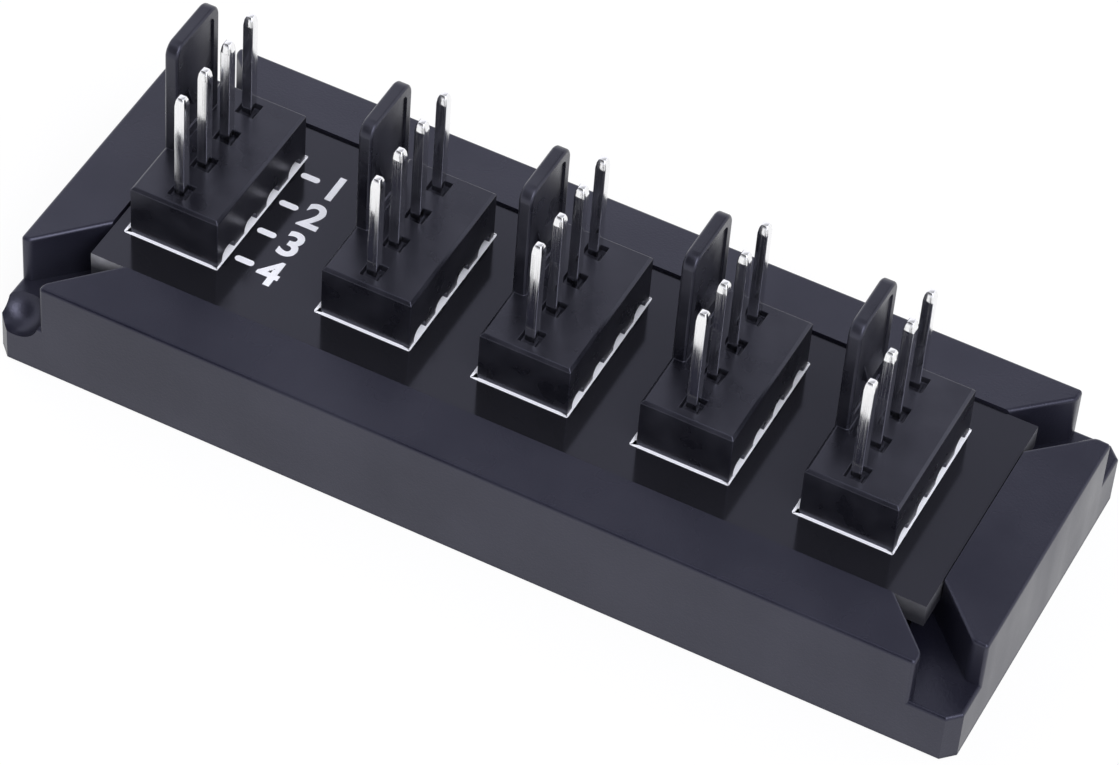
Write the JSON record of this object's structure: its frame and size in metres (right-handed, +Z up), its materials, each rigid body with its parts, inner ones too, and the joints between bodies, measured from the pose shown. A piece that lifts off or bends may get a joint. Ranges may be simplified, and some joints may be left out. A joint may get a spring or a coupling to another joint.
{
  "type": "pwm fan hub",
  "caption": "Flat moulded tray with a circuit board and a row of fan headers with lock tabs, which splits one fan connection to several fans.",
  "frame": {"origin": "centre of the flat base", "axes": "+X along the hub from the inlet end, +Y across it towards pin 1 of each header, +Z up out of the open tray"},
  "size_m": [0.06, 0.0228, 0.0183],
  "materials": {
    "housing_plastic": "satin black moulded plastic",
    "board": "glossy black solder mask",
    "header_plastic": "satin black nylon",
    "pin_metal": "bright tin plating",
    "solder": "smooth solder",
    "marking": "white board print"
  },
  "bodies": {
    "root": {"housing": "housing_plastic", "circuit_board": "board", "header_body_1": "header_plastic", "solder_joints_1": "solder", "pin_1_1": "pin_metal", "pin_1_2": "pin_metal", "pin_1_3": "pin_metal", "pin_1_4": "pin_metal", "header_body_2": "header_plastic", "solder_joints_2": "solder", "pin_2_1": "pin_metal", "pin_2_2": "pin_metal", "pin_2_3": "pin_metal", "pin_2_4": "pin_metal", "header_body_3": "header_plastic", "solder_joints_3": "solder", "pin_3_1": "pin_metal", "pin_3_2": "pin_metal", "pin_3_3": "pin_metal", "pin_3_4": "pin_metal", "header_body_4": "header_plastic", "solder_joints_4": "solder", "pin_4_1": "pin_metal", "pin_4_2": "pin_metal", "pin_4_3": "pin_metal", "pin_4_4": "pin_metal", "header_body_5": "header_plastic", "solder_joints_5": "solder", "pin_5_1": "pin_metal", "pin_5_2": "pin_metal", "pin_5_3": "pin_metal", "pin_5_4": "pin_metal"}
  },
  "joints": []
}
